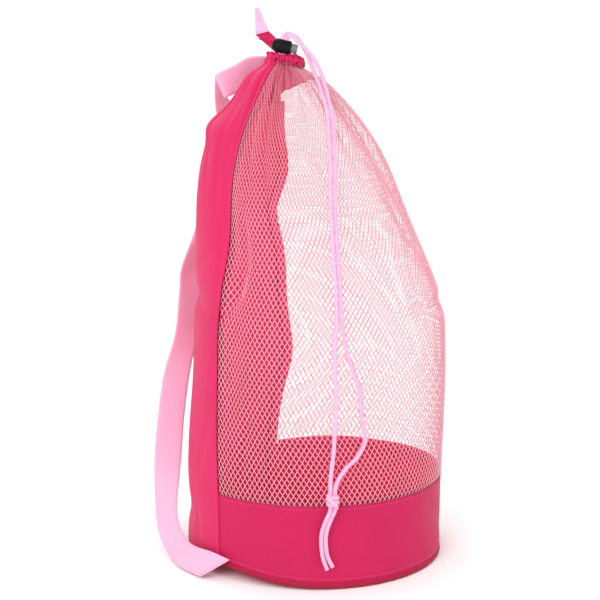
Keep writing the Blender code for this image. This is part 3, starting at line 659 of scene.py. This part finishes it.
def braided(name, colour):
    """Braided cord: two sets of strands that cross round it."""
    graph = Graph(name, colour, 0.66)
    around, along = graph.uv()
    turns = graph.math("MULTIPLY", around, 4 * 2 * math.pi)
    run = graph.math("MULTIPLY", along, 2 * math.pi / 0.0046)
    one = graph.math("SINE", graph.math("ADD", turns, run))
    other = graph.math("SINE", graph.math("SUBTRACT", turns, run))
    height = graph.math("MULTIPLY", one, other)
    fibre = graph.noise(900.0, 2.0)
    # The fibre noise is random tone; the strand height darkens where strands dip under each other,
    # which is painted shade
    shade = graph.math("ADD", graph.math("MULTIPLY", fibre, 0.35),
                       graph.spread(height, 0.0, 0.65, -1.0, 1.0))
    graph.tint(shade, 0.84, 1.06)
    graph.bump(height, 0.00030, 0.6)
    graph.links.new(graph.spread(fibre, 0.58, 0.76), graph.shader.inputs["Roughness"])
    graph.sheen(0.25, 0.45, (1.0, 0.88, 0.94))
    return graph.material


def knitted(name, colour):
    """Knitted yarn of the net: fine loops along the yarn and a little shade variation."""
    graph = Graph(name, colour, 0.62)
    fibre = graph.noise(1400.0, 2.0, (1.0, 1.0, 0.4))
    cloud = graph.noise(30.0, 2.0)
    shade = graph.math("ADD", graph.math("MULTIPLY", fibre, 0.5), graph.math("MULTIPLY", cloud, 0.5))
    graph.tint(shade, 0.90, 1.08)
    graph.bump(fibre, 0.00012, 0.5)
    graph.links.new(graph.spread(fibre, 0.52, 0.72), graph.shader.inputs["Roughness"])
    graph.sheen(0.20, 0.4, (1.0, 0.9, 0.93))
    return graph.material


def moulded(name, colour, roughness):
    """Moulded plastic with a faint grain and uneven gloss."""
    graph = Graph(name, colour, roughness)
    grain = graph.noise(1600.0, 2.0)
    smudge = graph.noise(120.0, 3.0)
    graph.tint(smudge, 0.8, 1.6)
    graph.bump(grain, 0.00006, 0.35)
    graph.links.new(graph.spread(smudge, roughness - 0.08, roughness + 0.12),
                    graph.shader.inputs["Roughness"])
    graph.shader.inputs["Specular IOR Level"].default_value = 0.12
    return graph.material


def drawn_wire(name, colour):
    graph = Graph(name, colour, 0.28, 1.0)
    streak = graph.noise(2400.0, 2.0)
    graph.tint(streak, 0.82, 1.1)
    graph.links.new(graph.spread(streak, 0.20, 0.38), graph.shader.inputs["Roughness"])
    return graph.material


HOT_PINK = nylon("hot_pink_nylon", (0.610, 0.015, 0.104))
# A darker copy of the panel's hot pink for the base band: painted shade for the low band, which
# takes less light; the band is the same cloth as the panel
BAND_PINK_PAINTED_SHADE = nylon("hot_pink_nylon_band_painted_shade", (0.510, 0.011, 0.083))
# A lighter copy of the hot pink for the inner faces of the wall cloth: painted light, standing in
# for the light that passes through the thin cloth into the bag
PINK_INSIDE_PAINTED_LIGHT = nylon("hot_pink_nylon_inside_painted_light", (0.900, 0.050, 0.190), 0.60)
DEEP_PINK = nylon("deep_pink_binding", (0.360, 0.009, 0.046), 0.58, 0.0010)
NET_PINK = knitted("pink_net", (0.850, 0.400, 0.475))
LIGHT_WEBBING = ribbed_webbing("light_pink_webbing", (0.900, 0.430, 0.615))
LIGHT_CORD = braided("light_pink_cord", (0.965, 0.440, 0.650))
THREAD = braided("light_pink_thread", (0.900, 0.400, 0.560))
PINK_THREAD = braided("hot_pink_thread", (0.720, 0.040, 0.150))
DARK_THREAD = braided("deep_pink_thread", (0.330, 0.012, 0.060))
BLACK = moulded("black_plastic", (0.003, 0.003, 0.004), 0.34)
# Grey plastic for the plunger, lighter than the barrel's black
GREY = moulded("grey_plastic", (0.130, 0.130, 0.135), 0.45)
STEEL = drawn_wire("spring_steel", (0.62, 0.62, 0.64))


# ---- camera ----

def make_camera():
    lens = bpy.data.cameras.new("camera")
    lens.lens = CAMERA_LENS
    lens.sensor_width = CAMERA_SENSOR
    camera = bpy.data.objects.new("camera", lens)
    bpy.context.collection.objects.link(camera)
    camera.location = CAMERA_PLACE
    aim = Vector(CAMERA_AIM) - camera.location
    camera.rotation_euler = aim.to_track_quat("-Z", "Y").to_euler()
    bpy.context.scene.camera = camera


# ---- the drawcord ----

def make_knot():
    """The overhand knot in both cords: two wraps round them and one strand over the front."""
    centre = np.array(KNOT_CENTRE)
    strands = []
    for drop in (0.0026, -0.0022):
        angles = np.linspace(-0.4 * np.pi, 2.3 * np.pi, 34)
        rise = np.linspace(0.0026, -0.0026, len(angles)) + drop
        reach = 0.0052 - 0.0022 * np.abs(np.linspace(-1.0, 1.0, len(angles))) ** 6
        strands.append(centre + np.stack(
            (reach * np.sin(angles), -reach * np.cos(angles), rise), axis=-1))
    over = smooth_path((
        (-0.0035, -0.0010, 0.0078), (-0.0048, -0.0052, 0.0052), (-0.0012, -0.0082, 0.0012),
        (0.0034, -0.0072, -0.0034), (0.0040, -0.0022, -0.0076),
    ), 0.0010)
    strands.append(centre + over)
    pieces = []
    for number, path in enumerate(strands, start=1):
        piece = round_cord(f"drawcord_knot_{number}", path, CORD_DIAMETER, LIGHT_CORD, "bag")[0]
        pieces.append(piece)
    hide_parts("drawcord_knot")
    return pieces


def make_drawcord():
    knot = make_knot()
    for side, route in (("left", CORD_LEFT), ("right", CORD_RIGHT)):
        path = smooth_path(route, 0.0030)
        cord, length = round_cord(f"drawcord_{side}", path, CORD_DIAMETER, LIGHT_CORD, "bag")
        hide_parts(f"drawcord_strand_{side}", f"drawcord_tail_{side}")

    turns = np.linspace(-20.0, 328.0, 90)
    level, depth = CORD_IN_CASING
    loop = shell(turns, np.full(len(turns), level), depth)
    piece = round_cord("drawcord_in_casing", loop, CORD_DIAMETER, LIGHT_CORD, "bag")[0]
    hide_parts("drawcord_loop")


# ---- the cloth ----

def wall_heights(low, high, step=0.004):
    return np.linspace(low, high, max(3, round((high - low) / step) + 1))


def make_panel():
    heights = wall_heights(BINDING_HEIGHT - SEAM_ALLOWANCE, MOUTH_TOP - 0.004, 0.0034)
    first = seam_azimuth(REAR_SEAM, heights) - 360.0
    last = seam_azimuth(FRONT_SEAM, heights)
    panel = wall_cloth("back_panel_cloth", first, last, heights, 0.0, CLOTH_THICKNESS, 96,
                       HOT_PINK, PANEL_CREASES)
    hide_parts("back_panel")


def make_band():
    heights = wall_heights(BINDING_HEIGHT - SEAM_ALLOWANCE, BAND_TOP + 0.001, 0.0028)
    first = seam_azimuth(FRONT_SEAM, heights) - 1.5
    last = seam_azimuth(REAR_SEAM, heights) + 1.5
    # The band's cloth is the darker copy of the hot pink: painted shade
    band = wall_cloth("base_band_cloth", first, last, heights, 0.0010, BAND_THICKNESS, 200,
                      BAND_PINK_PAINTED_SHADE, BAND_CREASES)
    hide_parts("base_band")


def make_tapes():
    """The tapes that bind the seams inside the bag."""
    for name, seam in (("front", FRONT_SEAM), ("rear", REAR_SEAM)):
        heights = wall_heights(0.010, FACING_HEM + 0.004, 0.005)
        middle = seam_azimuth(seam, heights)
        half = np.degrees(TAPE_HALF_WIDTH / wall_radius(heights))
        tape = wall_cloth(f"{name}_seam_tape_cloth", middle - half, middle + half, heights,
                          TAPE_DEPTH, TAPE_THICKNESS, 7, DEEP_PINK)
        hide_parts(f"{name}_seam_tape")
    heights = wall_heights(BAND_TOP - 0.006, BAND_TOP + 0.006, 0.002)
    first = seam_azimuth(FRONT_SEAM, heights) + 3.0
    last = seam_azimuth(REAR_SEAM, heights) - 3.0
    tape = wall_cloth("band_seam_tape_cloth", first, last, heights, TAPE_DEPTH, TAPE_THICKNESS,
                      200, DEEP_PINK)
    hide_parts("band_seam_tape")


def ring_sheet(name, outer, inner, columns, material, ruffle, scallop=0.0):
    """A round sheet from (depth, height) profiles of its two faces, with the wall's folds."""
    turns = np.linspace(0.0, 360.0, columns, endpoint=False)
    round_it = np.radians(turns)
    wave = np.cos(17.0 * round_it + 1.0) + 0.6 * np.sin(11.0 * round_it)
    hems = np.interp(turns, *zip(*FACING_HEMS))
    faces = []
    for profile in (outer, inner):
        depths, levels = (np.array(values)[:, None] for values in zip(*profile))
        share = np.clip((levels - FACING_HEM) / (FACING_TOP - FACING_HEM), 0.0, 1.0)
        hung = hems + (FACING_TOP - hems) * share
        levels = np.where(levels < FACING_TOP, np.where(depths > 0.002, hung, levels), levels)
        sunk = RIM_SINK * bell(turn_from(turns, RIM_SINK_AZIMUTH), 40.0) * (depths < 0.0008)
        grid = shell(turns[None, :], np.minimum(levels, MOUTH_TOP), depths + sunk)
        grid[..., 2] += ruffle * wave * bell(levels - MOUTH_TOP, 0.003)
        grid[..., 2] += np.maximum(levels - MOUTH_TOP, 0.0)
        grid[..., 2] += scallop * wave * smooth_step((0.582 - levels) / 0.006) * (depths < 0.0)
        faces.append(grid)
    run = np.cumsum([0.0] + [math.dist(a, b) for a, b in zip(outer, outer[1:])])
    uvs = np.stack(np.broadcast_arrays(np.radians(turns)[None, :] * 0.05, run[:, None]), axis=-1)
    return two_faced(name, faces[0], faces[1], uvs, material, "bag", closed=True)


def make_casing():
    """The facing inside the mouth, rolled over the rim and sewn down into the cord's tunnel."""
    thick = CLOTH_THICKNESS
    hem = [(0.0030, z) for z in wall_heights(FACING_HEM, FACING_TOP, 0.0022)]
    rim_outer = [(0.0030, 0.5825), (0.0022, 0.5838), (0.0010, 0.5846), (-0.0002, 0.5840),
                 (-0.0007, 0.5826), (-0.0006, 0.5806), (-0.0004, 0.5785)]
    rim_inner = [(0.0030 + thick, 0.5830), (0.0026, 0.5848), (0.0008, 0.5857), (-0.0009, 0.5849),
                 (-0.0015, 0.5828), (-0.0014, 0.5806), (-0.0011, 0.5783)]
    back = [(depth + thick, level) for depth, level in hem]
    facing = ring_sheet("mouth_facing", hem + rim_outer, back + rim_inner, 360, HOT_PINK,
                        0.0010, 0.0024)
    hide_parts("mouth_casing")

    top = [(0.0034, 0.5838), (0.0050, 0.5850), (0.0075, 0.5850), (0.0092, 0.5842),
           (0.0100, 0.5825), (0.0101, 0.5790), (0.0099, 0.5755), (0.0088, 0.5741),
           (0.0065, 0.5736), (0.0044, 0.5733)]
    below = [(0.0036, 0.5829), (0.0052, 0.5841), (0.0073, 0.5841), (0.0085, 0.5835),
             (0.0091, 0.5822), (0.0092, 0.5790), (0.0090, 0.5760), (0.0083, 0.5750),
             (0.0065, 0.5745), (0.0045, 0.5742)]
    tunnel = ring_sheet("cord_tunnel", top, below, 360, HOT_PINK, 0.0006)


# ---- the net ----

def net_levels():
    """The wall's heights at equal steps along its slope, one for each row of holes."""
    fine = np.linspace(BAND_TOP - 0.006, MOUTH_TOP - 0.0045, 900)
    steps = np.hypot(np.diff(fine), np.diff(wall_radius(fine)))
    run = np.concatenate(((0.0,), np.cumsum(steps)))
    rows = round(run[-1] / NET_ROW)

    def level(row):
        return np.interp(np.asarray(row) / rows * run[-1], run, fine)

    return rows, level


def make_net():
    """Staggered rounded diamonds: each hole is joined to its cell's edge by eight faces a side."""
    rows, level = net_levels()
    wide, middle_x, middle_y, tall = NET_HOLE
    edge = ((0.5, 0.0), (0.25, 0.5), (0.0, 1.0), (-0.25, 0.5),
            (-0.5, 0.0), (-0.25, -0.5), (0.0, -1.0), (0.25, -0.5))
    hole = ((wide, 0.0), (middle_x, middle_y), (0.0, tall), (-middle_x, middle_y),
            (-wide, 0.0), (-middle_x, -middle_y), (0.0, -tall), (middle_x, -middle_y))
    cells = []
    for row in range(1, rows):
        start = 0.5 if row % 2 else 1.0
        cells.extend((start + column, row) for column in range(NET_COLUMNS - (row + 1) % 2))
    uses = {}
    for x, y in cells:
        for dx, dy in edge[1::2]:
            key = (round(4 * (x + dx)), round(4 * (y + dy)))
            uses[key] = uses.get(key, 0) + 1
    index, spots, offsets = {}, [], []

    def vertex(x, y, side):
        key = (round(1000 * x), round(1000 * y), side)
        if key not in index:
            index[key] = len(spots)
            spots.append((x, y))
            offsets.append(side * NET_HALF_YARN)
        return index[key]

    open_points = set()
    for x, y in cells:
        for k in (1, 3, 5, 7):
            place = (x + edge[k][0], y + edge[k][1])
            if uses[(round(4 * place[0]), round(4 * place[1]))] == 1:
                for dx, dy in (edge[k - 1], edge[k], edge[(k + 1) % 8]):
                    open_points.add((round(1000 * (x + dx)), round(1000 * (y + dy))))
    faces = []
    for x, y in cells:
        ring = []
        for side in (-1, 1):
            corners = []
            for dx, dy in edge:
                rim = (round(1000 * (x + dx)), round(1000 * (y + dy))) in open_points
                corners.append(vertex(x + dx, y + dy, 0 if rim else side))
            ring.append(corners)
        inner = [vertex(x + dx, y + dy, 0) for dx, dy in hole]
        for k in range(8):
            n = (k + 1) % 8
            faces.append((ring[0][k], ring[0][n], inner[n], inner[k]))
            faces.append((ring[1][k], inner[k], inner[n], ring[1][n]))
    spots, offsets = np.array(spots), np.array(offsets)
    heights = level(spots[:, 1])
    first = seam_azimuth(FRONT_SEAM, heights) - 1.2
    last = seam_azimuth(REAR_SEAM, heights) + 1.2
    turns = first + (last - first) * spots[:, 0] / NET_COLUMNS
    from_edge = np.minimum(spots[:, 0], NET_COLUMNS - spots[:, 0])
    tucked = 1.0 - smooth_step(from_edge / 1.6) * smooth_step((heights - BAND_TOP) / 0.006)
    depth = 0.0007 + 0.0016 * tucked + offsets
    points = shell(turns, heights, depth, NET_CREASES)
    uvs = spots * (BAG_RADIUS * 0.04, NET_ROW)
    net = make_piece("mesh_wall_net", points, faces, uvs, NET_PINK, "bag")
    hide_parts("mesh_wall")


# ---- base ----

def make_base():
    """The piped seam round the foot and the slightly wavy round bottom."""
    turns = np.linspace(0.0, 360.0, 240, endpoint=False)
    section = []
    for k in range(PIPING_SIDES):
        angle = 2 * math.pi * k / PIPING_SIDES
        across = math.copysign(abs(math.cos(angle)) ** PIPING_SQUARENESS, math.cos(angle))
        up = math.copysign(abs(math.sin(angle)) ** PIPING_SQUARENESS, math.sin(angle))
        section.append((PIPING_RADIUS * (1.0 - across), BINDING_HEIGHT / 2 * (1.0 + up)))
    rows = []
    for depth, level in section:
        ripple = 0.0002 * np.sin(np.radians(turns) * 46.0)
        rows.append(shell(turns, np.full(len(turns), 0.010), depth + 0.0002 + ripple))
        rows[-1][:, 2] = level + lift(turns, np.full(len(turns), level))
    grid = np.array(rows)
    columns = len(turns)
    faces = []
    for r in range(len(rows)):
        for c in range(columns):
            n, below = (c + 1) % columns, (r + 1) % len(rows)
            faces.append((r * columns + c, below * columns + c,
                          below * columns + n, r * columns + n))
    uvs = [(math.radians(turn) * BAG_RADIUS, 0.0025 * r)
           for r in range(len(rows)) for turn in turns]
    binding = make_piece("base_binding_piping", grid.reshape(-1, 3), faces, uvs, DEEP_PINK, "bag")
    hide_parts("base_binding")

    rings = np.linspace(0.002, DISC_RADIUS, 40)
    outer, inner = [], []
    for radius in rings:
        turn = np.radians(turns)
        wave = 0.0003 * np.cos(radius * 300.0) * smooth_step((0.14 - radius) / 0.02)
        raised = lift(turns, np.zeros(columns)) * (radius / BAG_RADIUS) ** 5
        place = np.stack((radius * np.sin(turn), -radius * np.cos(turn),
                          raised + 0.0004 + abs(wave)), axis=-1)
        inner.append(place)
        outer.append(place + (0.0, 0.0, DISC_THICKNESS))
    grid = np.array(outer)
    disc = two_faced("base_disc_cloth", grid, np.array(inner), grid[..., :2].copy(), HOT_PINK,
                     "bag", closed=True)
    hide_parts("base_disc")


# ---- strap, tab and loop ----

def make_strap():
    strap, length = webbing("shoulder_strap_webbing", STRAP, WEBBING_THICKNESS, LIGHT_WEBBING, None)
    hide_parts("shoulder_strap", "strap_top_end")
    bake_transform(strap)


def make_tab():
    tab = webbing("hang_tab_cloth", TAB, TRIM_THICKNESS, HOT_PINK, None, 0.0012, 15, 0.0009)[0]
    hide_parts("hang_tab")
    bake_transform(tab)

    legs = []
    for turn in np.linspace(0.0, math.pi, 41):
        rise = math.sin(turn) ** 0.6
        base_edge, tip_edge = Vector((0.0072, 0.0, 0.0019)), Vector((0.0020, 0.0034, 0.0))
        edge = base_edge.lerp(tip_edge, rise)
        middle = Vector(LOOP_BASE) + Vector((-0.0058 * rise, 0.0, LOOP_HEIGHT * rise))
        middle.y -= LOOP_HALF_GAP * math.cos(turn) * (1.0 - 0.5 * rise)
        legs.append((middle - edge, middle + edge))
    loop = webbing("hang_loop_webbing", legs, TRIM_THICKNESS, LIGHT_WEBBING, "loop", 0.0015)[0]
    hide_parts("hang_loop")
    path = np.linspace((-0.0674, 0.0082, 0.6222), (-0.0598, 0.0082, 0.6232), 12)
    row = stitches("hang_loop_stitches", path, np.tile((0.0, -1.0, 0.0), (12, 1)), DARK_THREAD,
                   "loop", 0.0016, 0.0013, 0.0006)


# ---- stitching ----

def wall_line(turns, heights, depth):
    """A line on the wall and the directions that point out of it."""
    points = shell(turns, heights, depth)
    outwards = shell(turns, heights, depth - 0.002) - points
    return points, outwards


def make_stitching():
    heights = wall_heights(0.012, 0.560, 0.004)
    for name, seam, side in (("front", FRONT_SEAM, -1.4), ("rear", REAR_SEAM, 1.4)):
        turns = seam_azimuth(seam, heights) + side
        points, outwards = wall_line(turns, heights, -0.0001)
        row = stitches(f"{name}_seam_stitches", points, outwards, PINK_THREAD, "bag")
    turns = np.linspace(-45.0, 200.0, 260)
    points, outwards = wall_line(turns, np.full(len(turns), BAND_TOP - 0.0022), 0.0002)
    row = stitches("band_seam_stitches", points, outwards, PINK_THREAD, "bag")
    turns = np.linspace(0.0, 359.0, 360)
    points, outwards = wall_line(turns, np.full(len(turns), BINDING_HEIGHT + 0.0035), -0.0002)
    row = stitches("base_seam_stitches", points, outwards, PINK_THREAD, "bag")


# ---- carried-over CAD pieces ----

def make_spring():
    """The button's spring, a steel copy of the CAD coil riding on the bag; the real spring shortens
    towards the barrel's floor as the button goes in, this copy keeps its shape.
    """
    coil = bpy.data.objects.new("cord_lock_coil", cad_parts["cord_lock_spring"].data.copy())
    bpy.context.collection.objects.link(coil)
    coil.data.materials.clear()
    coil.data.materials.append(STEEL)
    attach(coil, "bag")
    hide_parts("cord_lock_spring")
    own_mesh(coil)


def dress_cad_nodes():
    for node, material in (
        ("cord_lock_barrel", BLACK), ("cord_lock_plunger", GREY),
        ("strap_top_bartack", THREAD), ("hang_loop_bartack", DARK_THREAD),
    ):
        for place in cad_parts[node].material_slots:
            place.material = material


# ---- studio ----

def make_studio():
    graph = Graph("pale_floor", (0.97, 0.97, 0.97), 0.8)
    graph.tint(graph.noise(3.0, 2.0), 0.985, 1.01)
    bpy.ops.mesh.primitive_plane_add(size=12.0, location=(0.0, 0.0, -0.0005))
    floor = bpy.context.object
    floor.name = "floor"
    floor.data.materials.append(graph.material)

    world = bpy.data.worlds.new("studio")
    world.use_nodes = True
    background = world.node_tree.nodes["Background"]
    background.inputs["Color"].default_value = (1.0, 1.0, 1.0, 1.0)
    background.inputs["Strength"].default_value = WORLD_STRENGTH
    bpy.context.scene.world = world
    for name, place, side, watts in LIGHTS:
        light = bpy.data.lights.new(name, "AREA")
        light.size = side
        light.energy = watts
        lamp = bpy.data.objects.new(name, light)
        bpy.context.collection.objects.link(lamp)
        lamp.location = place
        aim = Vector(LIGHT_AIM) - lamp.location
        lamp.rotation_euler = aim.to_track_quat("-Z", "Y").to_euler()
    bpy.context.scene.view_settings.view_transform = "Standard"


make_camera()
make_drawcord()
make_panel()
make_band()
make_tapes()
make_casing()
make_net()
make_base()
make_strap()
make_tab()
make_stitching()
make_spring()
dress_cad_nodes()
make_studio()
